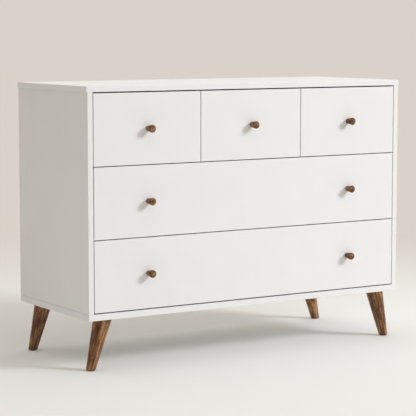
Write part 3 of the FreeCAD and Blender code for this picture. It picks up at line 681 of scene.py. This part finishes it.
pith_bearing = 0.0
for drawer, knobs in KNOBS.items():
    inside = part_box(f"{drawer}_drawer_front")[1].y
    knob_screws = bmesh.new()
    washers = bmesh.new()
    for knob in knobs:
        low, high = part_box(knob)
        centre = (low + high) / 2
        pith_bearing += KNOB_PITH_TURN
        away = Vector((math.cos(pith_bearing), 0, math.sin(pith_bearing)))
        pith = centre + away * KNOB_PITH_AWAY
        dress(walnut(f"oiled_walnut_{knob}", pith, (math.pi / 2, 0, 0), KNOB_TONES), knob)
        add_turned(knob_screws, KNOB_SCREW, SCREW_CORNERS,
                   facing((0, 1, 0), (centre.x, inside + WASHER_THICKNESS, centre.z)))
        add_turned(washers, WASHER_OUTLINE, WASHER_CORNERS,
                   facing((0, 1, 0), (centre.x, inside, centre.z)))
    # a washer's outline ends where it starts, so its first and last rings are merged
    bmesh.ops.remove_doubles(washers, verts=washers.verts, dist=SAME_PLACE)
    body = f"{drawer}_drawer"
    finish_piece(f"{drawer}_knob_screws", knob_screws, zinc_plated_steel, body)
    finish_piece(f"{drawer}_knob_washers", washers, zinc_plated_steel, body)

# ---- ball runners ---------------------------------------------------------------------------
# Each drawer hangs on two ball runners: roll-formed, zinc-plated channels on the case and on
# the box, with a folded cage of hard steel balls between them. Three screws hold each channel.

# Roll-formed strip: the plating keeps faint lines along the channel.
ROLL_LINE = 1.5 * MM
ROLL_STRETCH = 60
rolled_steel, tree = start_material("rolled_zinc_plated_steel")
where = add_node(tree, "ShaderNodeTexCoord").outputs["Object"]
along = add_node(tree, "ShaderNodeMapping", {"Vector": where, "Scale": (1, ROLL_STRETCH, 1)},
                 vector_type="TEXTURE")
line = add_node(tree, "ShaderNodeTexNoise", {"Vector": along.outputs[0],
                                             "Scale": 1 / ROLL_LINE, "Detail": 3})
tint = add_node(tree, "ShaderNodeMix", {0: line.outputs["Fac"], 6: linear("#989ea3"),
                                        7: linear("#c9ccca")}, data_type="RGBA")
haze = add_node(tree, "ShaderNodeMapRange", {"Value": line.outputs["Fac"], "To Min": 0.24,
                                             "To Max": 0.48})
bump = add_node(tree, "ShaderNodeBump", {"Height": line.outputs["Fac"], "Strength": 0.15,
                                         "Distance": 0.1 * MM})
shader = add_node(tree, "ShaderNodeBsdfPrincipled", {
    "Base Color": tint.outputs[2], "Metallic": 1.0, "Roughness": haze.outputs[0],
    "Normal": bump.outputs[0]})
add_node(tree, "ShaderNodeOutputMaterial", {"Surface": shader.outputs[0]})
dress(rolled_steel, "case_runners", *[f"{drawer}_drawer_runners" for drawer in DRAWERS])

# Hardened and ground steel, lightly oiled: darker and glossier than the plating.
OIL_FILM = 6 * MM
bearing_steel, tree = start_material("oiled_bearing_steel")
where = add_node(tree, "ShaderNodeTexCoord").outputs["Object"]
film = add_node(tree, "ShaderNodeTexNoise", {"Vector": where, "Scale": 1 / OIL_FILM,
                                             "Detail": 2})
tint = add_node(tree, "ShaderNodeMix", {0: film.outputs["Fac"], 6: linear("#7f8082"),
                                        7: linear("#a9aaab")}, data_type="RGBA")
gloss = add_node(tree, "ShaderNodeMapRange", {"Value": film.outputs["Fac"], "To Min": 0.12,
                                              "To Max": 0.3})
shader = add_node(tree, "ShaderNodeBsdfPrincipled", {
    "Base Color": tint.outputs[2], "Metallic": 1.0, "Roughness": gloss.outputs[0]})
add_node(tree, "ShaderNodeOutputMaterial", {"Surface": shader.outputs[0]})
dress(bearing_steel, *[f"{drawer}_ball_cages" for drawer in DRAWERS])

RUNNER_WIDTH = 12.7 * MM
CHANNEL_WALL = 1.2 * MM
CASE_SCREWS_FROM_FRONT = (45 * MM, 190 * MM, 350 * MM)
BOX_SCREWS_FROM_FRONT = (25 * MM, 200 * MM, 375 * MM)
# Screws from both faces of a divider would meet, so those at a drawer's right are set back.
RIGHT_SHIFT = 12 * MM
FLAT_SCREW = screw(3 * MM, 0.3 * MM, 1.6 * MM, 12 * MM)
PAN_SCREW = screw(3.4 * MM, 1.6 * MM, 1.7 * MM, 11 * MM)
case_runner_screws = bmesh.new()
for drawer in DRAWERS:
    low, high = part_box(f"{drawer}_drawer_runners")
    middle = (low.z + high.z) / 2
    box_runner_screws = bmesh.new()
    for side, inward in (("left", 1), ("right", -1)):
        side_low, side_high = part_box(f"{drawer}_drawer_{side}_side")
        box_face = side_low.x if inward > 0 else side_high.x
        case_face = box_face - inward * RUNNER_WIDTH
        shift = RIGHT_SHIFT if inward < 0 else 0
        for back in CASE_SCREWS_FROM_FRONT:
            place = (case_face + inward * CHANNEL_WALL, low.y + back + shift, middle)
            add_turned(case_runner_screws, FLAT_SCREW, SCREW_CORNERS,
                       facing((inward, 0, 0), place))
        for back in BOX_SCREWS_FROM_FRONT:
            place = (box_face - inward * CHANNEL_WALL, low.y + back, middle)
            add_turned(box_runner_screws, PAN_SCREW, SCREW_CORNERS,
                       facing((-inward, 0, 0), place))
    finish_piece(f"{drawer}_runner_screws", box_runner_screws, zinc_plated_steel,
                 f"{drawer}_drawer")
finish_piece("case_runner_screws", case_runner_screws, zinc_plated_steel, "case")

# ---- floor, light and camera ----------------------------------------------------------------
# A seamless sweep of warm white paper, a softbox at the front right, a wide soft light from
# above and behind, and weak light from all round.

FLOOR_HALF = 40.0
floor_mesh = bpy.data.meshes.new("studio_floor")
corners = [(-FLOOR_HALF, -FLOOR_HALF, 0), (FLOOR_HALF, -FLOOR_HALF, 0),
           (FLOOR_HALF, FLOOR_HALF, 0), (-FLOOR_HALF, FLOOR_HALF, 0)]
floor_mesh.from_pydata(corners, [], [(0, 1, 2, 3)])
floor = bpy.data.objects.new("studio_floor", floor_mesh)
bpy.context.scene.collection.objects.link(floor)

# Uncoated paper is matt and very faintly cloudy. From 1 m to 3.2 m away from the chest it takes
# on the tone of the backdrop, so no horizon shows.
BACKDROP = linear("#dad2ca")
PAPER_CLOUD = 500 * MM
FADE_START = 1.0
FADE_END = 3.2
paper, tree = start_material("seamless_paper")
where = add_node(tree, "ShaderNodeTexCoord").outputs["Object"]
cloud = add_node(tree, "ShaderNodeTexNoise", {"Vector": where, "Scale": 1 / PAPER_CLOUD})
tint = add_node(tree, "ShaderNodeMix", {0: cloud.outputs["Fac"], 6: linear("#eaeae8"),
                                        7: linear("#ecebe9")}, data_type="RGBA")
shader = add_node(tree, "ShaderNodeBsdfPrincipled", {
    "Base Color": tint.outputs[2], "Roughness": 0.8})
glow = add_node(tree, "ShaderNodeEmission", {"Color": BACKDROP, "Strength": 1.0})
reach = add_node(tree, "ShaderNodeVectorMath", {0: where}, operation="LENGTH")
far = add_node(tree, "ShaderNodeMapRange", {
    "Value": reach.outputs["Value"], "From Min": FADE_START, "From Max": FADE_END},
    interpolation_type="SMOOTHSTEP")
sweep = add_node(tree, "ShaderNodeMixShader", {0: far.outputs[0], 1: shader.outputs[0],
                                               2: glow.outputs[0]})
add_node(tree, "ShaderNodeOutputMaterial", {"Surface": sweep.outputs[0]})
floor_mesh.materials.append(paper)

# The backdrop is only seen: what lights the chest from all round is weaker and warmer.
world = bpy.data.worlds.new("studio")
bpy.context.scene.world = world
world.use_nodes = True
tree = world.node_tree
tree.nodes.clear()
seen = add_node(tree, "ShaderNodeLightPath").outputs["Is Camera Ray"]
light = add_node(tree, "ShaderNodeBackground", {"Color": linear("#ffedd4"), "Strength": 0.18})
backdrop = add_node(tree, "ShaderNodeBackground", {"Color": BACKDROP, "Strength": 1.0})
both = add_node(tree, "ShaderNodeMixShader", {0: seen, 1: light.outputs[0],
                                              2: backdrop.outputs[0]})
add_node(tree, "ShaderNodeOutputWorld", {"Surface": both.outputs[0]})

CHEST_MIDDLE = 0.45


def add_lamp(name, kind, colour, azimuth, elevation, power, distance=0.0):
    """A lamp that shines on the chest. Azimuth is in degrees from the front to the right."""
    lamp = bpy.data.lights.new(name, kind)
    lamp.energy = power
    lamp.color = linear(colour)[:3]
    holder = bpy.data.objects.new(name, lamp)
    across, up = math.radians(azimuth), math.radians(elevation)
    towards = Vector((math.sin(across) * math.cos(up), -math.cos(across) * math.cos(up),
                      math.sin(up)))
    holder.location = Vector((0, 0, CHEST_MIDDLE)) + towards * distance
    holder.rotation_euler = towards.to_track_quat("Z", "Y").to_euler()
    bpy.context.scene.collection.objects.link(holder)
    return lamp


softbox = add_lamp("softbox", "AREA", "#f7fbff", azimuth=42, elevation=28, power=446,
                   distance=9.0)
softbox.shape = "SQUARE"
softbox.size = 2.4
ceiling = add_lamp("ceiling_bounce", "SUN", "#fffffd", azimuth=135, elevation=70, power=1.92)
ceiling.angle = math.radians(140)

# The camera stands at the front left, a little above the top, and looks slightly down.
CAMERA_PLACE = (-3.033, -4.762, 1.063)
CAMERA_DOWN = math.radians(6.1)
CAMERA_TURN = math.radians(-32.27)
camera_data = bpy.data.cameras.new("camera")
camera_data.sensor_width = 36
camera_data.lens = 146.28
camera = bpy.data.objects.new("camera", camera_data)
camera.location = CAMERA_PLACE
camera.rotation_euler = Euler((math.pi / 2 - CAMERA_DOWN, 0, CAMERA_TURN))
bpy.context.scene.collection.objects.link(camera)
bpy.context.scene.camera = camera
bpy.context.scene.view_settings.view_transform = "Standard"
